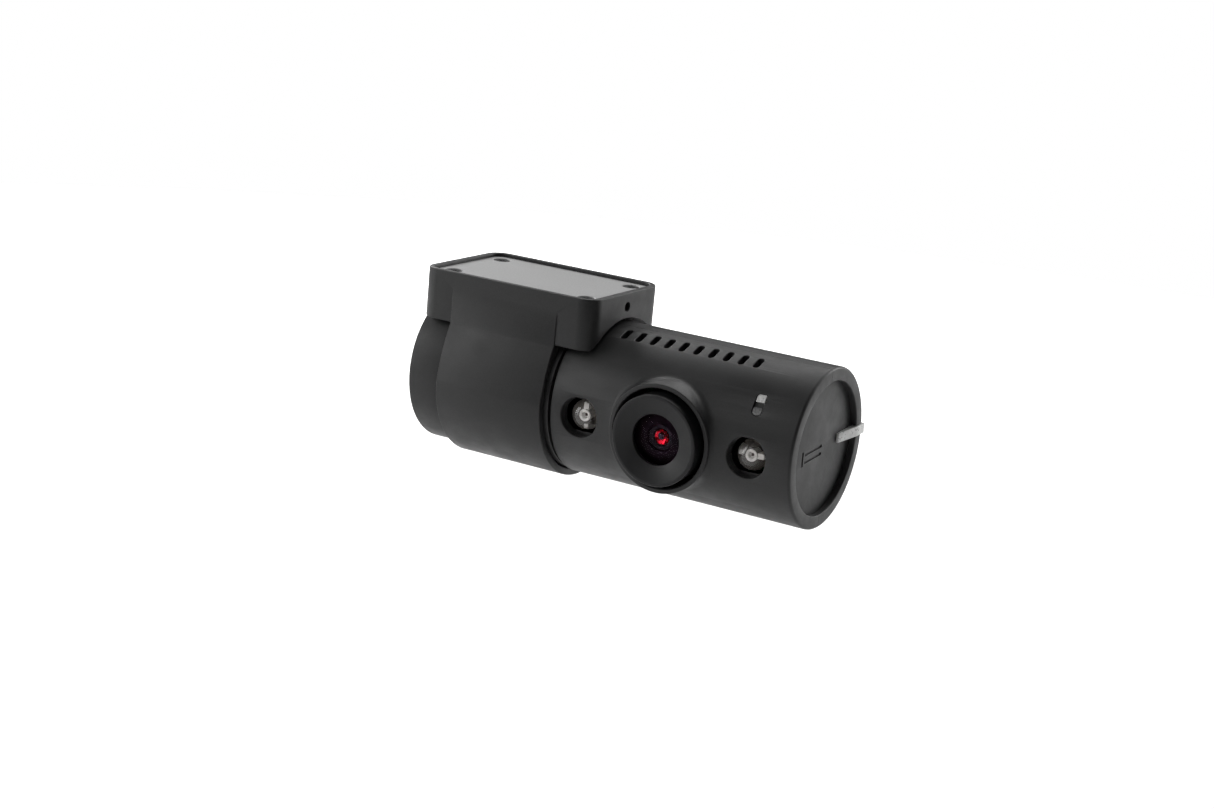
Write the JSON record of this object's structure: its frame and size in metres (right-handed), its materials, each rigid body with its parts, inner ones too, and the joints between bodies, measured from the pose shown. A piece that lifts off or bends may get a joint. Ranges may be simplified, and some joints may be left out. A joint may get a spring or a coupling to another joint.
{
  "type": "dash camera",
  "caption": "Tube-shaped infrared dash camera that turns in the collar of a rectangular glass-mount bracket.",
  "frame": {"origin": "centre of the mount plate's top face, inside the bracket's rim", "axes": "+X along the camera tube towards its end disc; the lens looks along -Y, tilted 3.1 degrees down; +Z out of the mount plate, towards the glass it is stuck to"},
  "size_m": [0.0682, 0.0286, 0.0307],
  "materials": {
    "bracket_plastic": "fine spark-eroded texture, charcoal",
    "shell_plastic": "fine spark-eroded texture, charcoal",
    "bezel_plastic": "satin black",
    "bush_plastic": "smooth acetal, black",
    "plate_grey": "smooth satin grey",
    "screw_steel": "black oxide",
    "coated_glass": "violet anti-reflection coating",
    "red_glass": "dark red infrared glass",
    "barrel_metal": "black anodised",
    "clear_epoxy": "water-clear cast epoxy",
    "lead_metal": "tinned",
    "contact_gold": "gold flash",
    "light_guide": "translucent, light grey",
    "smoked_window": "smoked, grey",
    "circuit_board": "green solder mask",
    "chip_black": "moulded black",
    "white_ceramic": "moulded ivory",
    "heat_aluminium": "bead blasted",
    "thermal_pad_silicone": "soft silicone, blue grey",
    "lead_jacket": "matte black jacket"
  },
  "bodies": {
    "bracket": {"bracket_housing": "bracket_plastic", "friction_bush": "bush_plastic", "mount_plate": "plate_grey", "plate_screw_1": "screw_steel", "plate_screw_2": "screw_steel", "plate_screw_3": "screw_steel", "plate_screw_4": "screw_steel"},
    "camera_tube": {"board_connector": "white_ceramic", "end_cap_screw_1": "screw_steel", "end_cap_screw_2": "screw_steel", "end_disc": "shell_plastic", "end_led": "white_ceramic", "end_light_guide": "light_guide", "front_shell": "shell_plastic", "heat_spreader": "heat_aluminium", "holder_screw_1": "screw_steel", "holder_screw_2": "screw_steel", "image_sensor": "chip_black", "internal_lead": "lead_jacket", "ir_led_left": "clear_epoxy", "ir_led_left_anode": "lead_metal", "ir_led_left_cathode": "lead_metal", "ir_led_right": "clear_epoxy", "ir_led_right_anode": "lead_metal", "ir_led_right_cathode": "lead_metal", "ir_pass_filter": "red_glass", "led_spacer_left": "chip_black", "led_spacer_right": "chip_black", "left_end_cap": "shell_plastic", "lens_barrel": "barrel_metal", "lens_bezel": "bezel_plastic", "lens_front_glass": "coated_glass", "lens_holder": "chip_black", "lens_middle_element": "red_glass", "lens_rear_element": "coated_glass", "lens_spacer": "bezel_plastic", "light_sensor": "chip_black", "main_board": "circuit_board", "plug_socket": "chip_black", "processor_chip": "chip_black", "rear_shell": "shell_plastic", "sensor_window": "smoked_window", "shell_screw_left": "screw_steel", "shell_screw_right": "screw_steel", "socket_contact_1": "contact_gold", "socket_contact_2": "contact_gold", "socket_contact_3": "contact_gold", "socket_contact_4": "contact_gold", "socket_ring": "lead_metal", "status_led": "white_ceramic", "status_light_pipe": "light_guide", "thermal_pad": "thermal_pad_silicone"}
  },
  "joints": [
    {"name": "tube_turn", "type": "hinge", "parent": "bracket", "child": "camera_tube", "pos_m": [0, 0, -0.01667], "axis": [1, 0, 0], "continuous": true}
  ]
}
